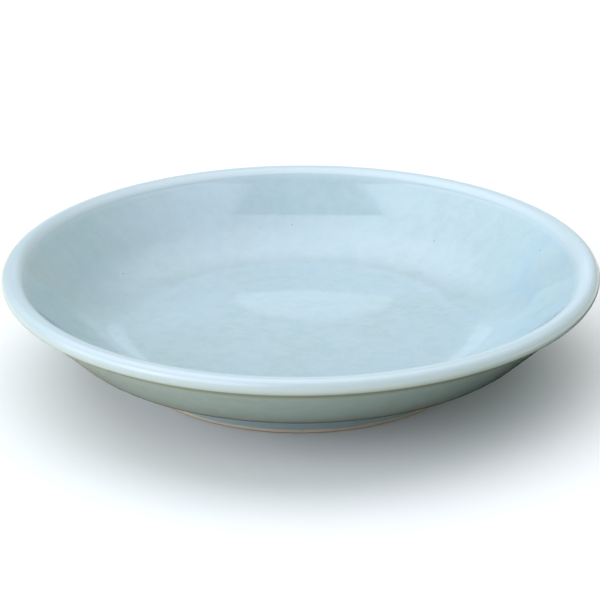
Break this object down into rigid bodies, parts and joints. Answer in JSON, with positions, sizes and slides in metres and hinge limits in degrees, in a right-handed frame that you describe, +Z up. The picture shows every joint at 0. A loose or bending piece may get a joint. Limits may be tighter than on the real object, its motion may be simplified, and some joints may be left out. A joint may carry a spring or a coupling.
{
  "type": "evaporating dish",
  "caption": "Shallow round dish of glazed stoneware with a rolled rim, a straight sloping wall, a broad nearly flat floor and a low foot ring whose standing edge is bare clay.",
  "frame": {"origin": "centre of the circle that the foot ring stands on, at the level of the table", "axes": "+Z up, along the dish's axis of revolution; +X and +Y are any two level directions, since the dish is the same all round"},
  "size_m": [0.2, 0.2, 0.0378],
  "materials": {
    "fired_clay": "bare stoneware, dry and fine-grained, toasted at the edge of the glaze",
    "blue_green_glaze": "glossy pale blue-green glaze, paler where it thins over the rim"
  },
  "bodies": {
    "root": {"clay_bowl": "fired_clay", "foot_ring": "fired_clay", "glaze_coat": "blue_green_glaze", "recess_glaze": "blue_green_glaze"}
  },
  "joints": []
}
